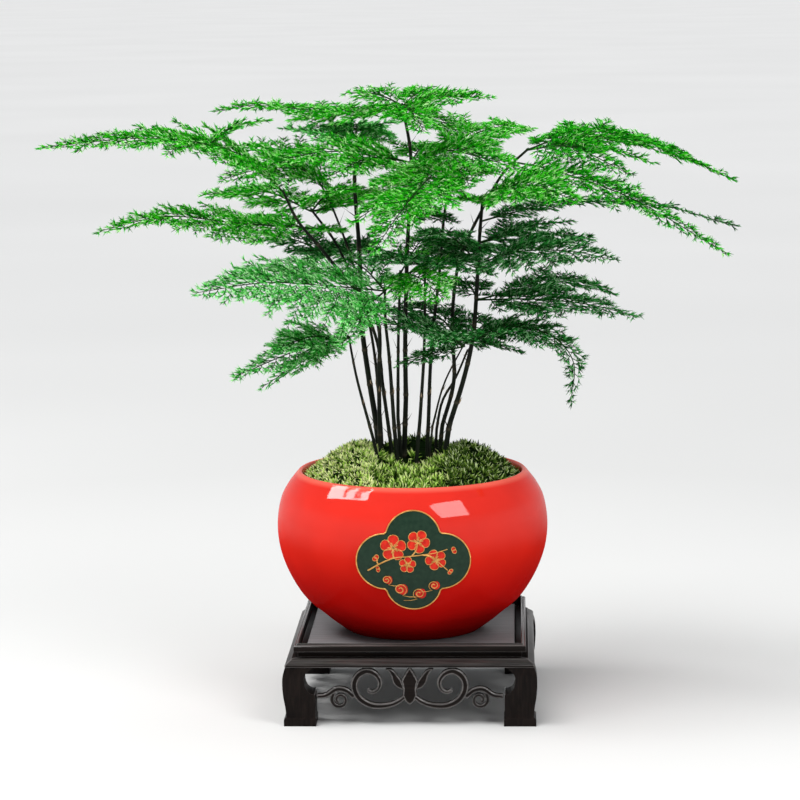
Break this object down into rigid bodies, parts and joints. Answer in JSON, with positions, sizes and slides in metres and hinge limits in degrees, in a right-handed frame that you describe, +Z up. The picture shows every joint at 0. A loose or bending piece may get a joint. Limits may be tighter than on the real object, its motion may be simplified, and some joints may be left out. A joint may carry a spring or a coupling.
{
  "type": "potted lace fern",
  "caption": "Lace fern with flat feathery fronds on thin dark canes, in a round glazed bowl with moss, on a square wooden stand with pierced scroll aprons.",
  "frame": {"origin": "on the floor under the middle of the stand, which is also the pot's axis", "axes": "+Z up, -Y towards the front, +X to the right along the longest reach of the fronds"},
  "size_m": [0.4431, 0.2509, 0.406],
  "materials": {
    "stand_wood": "black-brown stained wood, semi-gloss lacquer",
    "stand_panel": "matte dark grey",
    "pot_glaze": "glossy red glaze with a small dark medallion at the front",
    "soil": "dark potting soil",
    "moss_bright": "yellow-green cushion moss",
    "moss_dark": "dark green cushion moss",
    "cane": "black-green smooth cane with papery brown scales",
    "frond_bright": "fresh bright green needles",
    "frond_deep": "deep green needles"
  },
  "bodies": {
    "root": {"stand_rail_front": "stand_wood", "stand_apron_front": "stand_wood", "stand_rail_right": "stand_wood", "stand_apron_right": "stand_wood", "stand_rail_back": "stand_wood", "stand_apron_back": "stand_wood", "stand_rail_left": "stand_wood", "stand_apron_left": "stand_wood", "stand_leg_front_left": "stand_wood", "stand_leg_front_right": "stand_wood", "stand_leg_back_right": "stand_wood", "stand_leg_back_left": "stand_wood", "stand_panel": "stand_panel", "pot": "pot_glaze", "cane_1": "cane", "cane_2": "cane", "cane_3": "cane", "cane_4": "cane", "cane_5": "cane", "cane_6": "cane", "cane_7": "cane", "cane_8": "cane", "cane_9": "cane", "cane_10": "cane", "cane_11": "cane", "cane_12": "cane", "cane_13": "cane", "cane_14": "cane", "soil": "soil", "moss_left": "moss_bright", "moss_centre": "moss_bright", "moss_right": "moss_dark", "moss_rear": "moss_dark", "frond_crown": "frond_bright", "frond_dome": "frond_deep", "frond_left_long": "frond_bright", "frond_left_upper": "frond_bright", "frond_centre_left": "frond_bright", "frond_left_mid": "frond_bright", "frond_left_back": "frond_bright", "frond_left_small": "frond_deep", "frond_left_low": "frond_bright", "frond_front_small": "frond_bright", "frond_left_bottom": "frond_deep", "frond_centre_front": "frond_bright", "frond_centre_right": "frond_bright", "frond_right_upper": "frond_bright", "frond_right_long_front": "frond_bright", "frond_right_long_back": "frond_deep", "frond_right_mid": "frond_deep", "frond_right_mid_back": "frond_deep", "frond_right_low": "frond_deep", "frond_right_drooping": "frond_deep", "frond_right_bottom": "frond_deep", "frond_back_right": "frond_deep", "frond_back_left": "frond_deep", "frond_back_centre": "frond_deep", "frond_front_low": "frond_deep", "frond_back_low": "frond_deep"}
  },
  "joints": []
}
